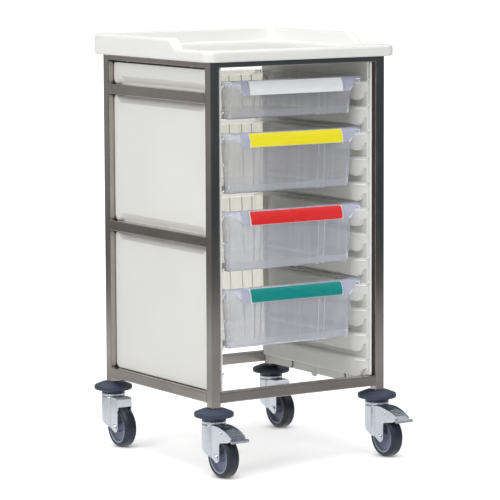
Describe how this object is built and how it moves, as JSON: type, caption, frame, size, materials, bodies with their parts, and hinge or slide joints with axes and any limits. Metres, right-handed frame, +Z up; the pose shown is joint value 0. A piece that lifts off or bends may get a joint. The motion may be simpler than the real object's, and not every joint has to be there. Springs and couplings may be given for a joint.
{
  "type": "tray trolley",
  "caption": "Square-tube trolley on swivel castors, with clear trays that slide out on moulded runner panels under a worktop with a raised gallery.",
  "frame": {"origin": "on the floor under the middle of the whole object's box", "axes": "+X to the right seen from the front, +Y to the back, +Z up"},
  "size_m": [0.57, 0.6384, 1.034],
  "materials": {
    "frame_steel": "satin brushed stainless steel",
    "worktop_plastic": "satin white moulded plastic",
    "panel_plastic": "fine-grained cream white moulded plastic",
    "clear_plastic": "clear moulded plastic",
    "label_white": "gloss white strip",
    "label_yellow": "gloss yellow strip",
    "label_red": "gloss red strip",
    "label_green": "gloss green strip",
    "buffer_rubber": "dark slate rubber",
    "zinc": "bright zinc-plated pressed steel",
    "hub_plastic": "grey moulded plastic",
    "tyre_rubber": "dark blue-grey soft rubber"
  },
  "bodies": {
    "frame": {"post_front_left": "frame_steel", "post_front_right": "frame_steel", "post_rear_left": "frame_steel", "post_rear_right": "frame_steel", "left_top_rail": "frame_steel", "left_upper_rail": "frame_steel", "left_lower_rail": "frame_steel", "left_bottom_rail": "frame_steel", "right_top_rail": "frame_steel", "right_upper_rail": "frame_steel", "right_lower_rail": "frame_steel", "right_bottom_rail": "frame_steel", "front_top_rail": "frame_steel", "front_bottom_rail": "frame_steel", "rear_top_rail": "frame_steel", "rear_bottom_rail": "frame_steel", "worktop": "worktop_plastic", "worktop_screws": "zinc", "left_side_panel": "panel_plastic", "right_side_panel": "panel_plastic", "front_left_buffer": "buffer_rubber", "front_left_castor_stem": "zinc", "front_right_buffer": "buffer_rubber", "front_right_castor_stem": "zinc", "rear_left_buffer": "buffer_rubber", "rear_left_castor_stem": "zinc", "rear_right_buffer": "buffer_rubber", "rear_right_castor_stem": "zinc"},
    "shallow_drawer": {"shallow_tray": "clear_plastic", "shallow_label": "label_white"},
    "upper_drawer": {"upper_tray": "clear_plastic", "upper_label": "label_yellow"},
    "middle_drawer": {"middle_tray": "clear_plastic", "middle_label": "label_red"},
    "lower_drawer": {"lower_tray": "clear_plastic", "lower_label": "label_green"},
    "front_left_castor": {"front_left_fork": "zinc", "front_left_axle": "zinc", "front_left_brake_pin": "zinc"},
    "front_left_wheel": {"front_left_hub": "hub_plastic", "front_left_tyre": "tyre_rubber"},
    "front_left_brake": {"front_left_brake_pedal": "zinc"},
    "front_right_castor": {"front_right_fork": "zinc", "front_right_axle": "zinc", "front_right_brake_pin": "zinc"},
    "front_right_wheel": {"front_right_hub": "hub_plastic", "front_right_tyre": "tyre_rubber"},
    "front_right_brake": {"front_right_brake_pedal": "zinc"},
    "rear_left_castor": {"rear_left_fork": "zinc", "rear_left_axle": "zinc"},
    "rear_left_wheel": {"rear_left_hub": "hub_plastic", "rear_left_tyre": "tyre_rubber"},
    "rear_right_castor": {"rear_right_fork": "zinc", "rear_right_axle": "zinc"},
    "rear_right_wheel": {"rear_right_hub": "hub_plastic", "rear_right_tyre": "tyre_rubber"}
  },
  "joints": [
    {"name": "shallow_tray_slide", "type": "slide", "parent": "frame", "child": "shallow_drawer", "axis": [0, -1, 0], "range_m": [0, 0.36]},
    {"name": "upper_tray_slide", "type": "slide", "parent": "frame", "child": "upper_drawer", "axis": [0, -1, 0], "range_m": [0, 0.36]},
    {"name": "middle_tray_slide", "type": "slide", "parent": "frame", "child": "middle_drawer", "axis": [0, -1, 0], "range_m": [0, 0.36]},
    {"name": "lower_tray_slide", "type": "slide", "parent": "frame", "child": "lower_drawer", "axis": [0, -1, 0], "range_m": [0, 0.36]},
    {"name": "front_left_swivel", "type": "hinge", "parent": "frame", "child": "front_left_castor", "pos_m": [-0.2375, -0.20325, 0.12], "axis": [0, 0, 1], "continuous": true},
    {"name": "front_left_wheel_spin", "type": "hinge", "parent": "front_left_castor", "child": "front_left_wheel", "pos_m": [-0.2375, -0.24525, 0.05], "axis": [1, 0, 0], "continuous": true},
    {"name": "front_left_brake_tip", "type": "hinge", "parent": "front_left_castor", "child": "front_left_brake", "pos_m": [-0.2375, -0.26325, 0.11], "axis": [1, 0, 0], "range_deg": [0, 8]},
    {"name": "front_right_swivel", "type": "hinge", "parent": "frame", "child": "front_right_castor", "pos_m": [0.2375, -0.20325, 0.12], "axis": [0, 0, 1], "continuous": true},
    {"name": "front_right_wheel_spin", "type": "hinge", "parent": "front_right_castor", "child": "front_right_wheel", "pos_m": [0.2375, -0.24525, 0.05], "axis": [1, 0, 0], "continuous": true},
    {"name": "front_right_brake_tip", "type": "hinge", "parent": "front_right_castor", "child": "front_right_brake", "pos_m": [0.2375, -0.26325, 0.11], "axis": [1, 0, 0], "range_deg": [0, 8]},
    {"name": "rear_left_swivel", "type": "hinge", "parent": "frame", "child": "rear_left_castor", "pos_m": [-0.2375, 0.27175, 0.12], "axis": [0, 0, 1], "continuous": true},
    {"name": "rear_left_wheel_spin", "type": "hinge", "parent": "rear_left_castor", "child": "rear_left_wheel", "pos_m": [-0.2375, 0.22975, 0.05], "axis": [1, 0, 0], "continuous": true},
    {"name": "rear_right_swivel", "type": "hinge", "parent": "frame", "child": "rear_right_castor", "pos_m": [0.2375, 0.27175, 0.12], "axis": [0, 0, 1], "continuous": true},
    {"name": "rear_right_wheel_spin", "type": "hinge", "parent": "rear_right_castor", "child": "rear_right_wheel", "pos_m": [0.2375, 0.22975, 0.05], "axis": [1, 0, 0], "continuous": true}
  ]
}
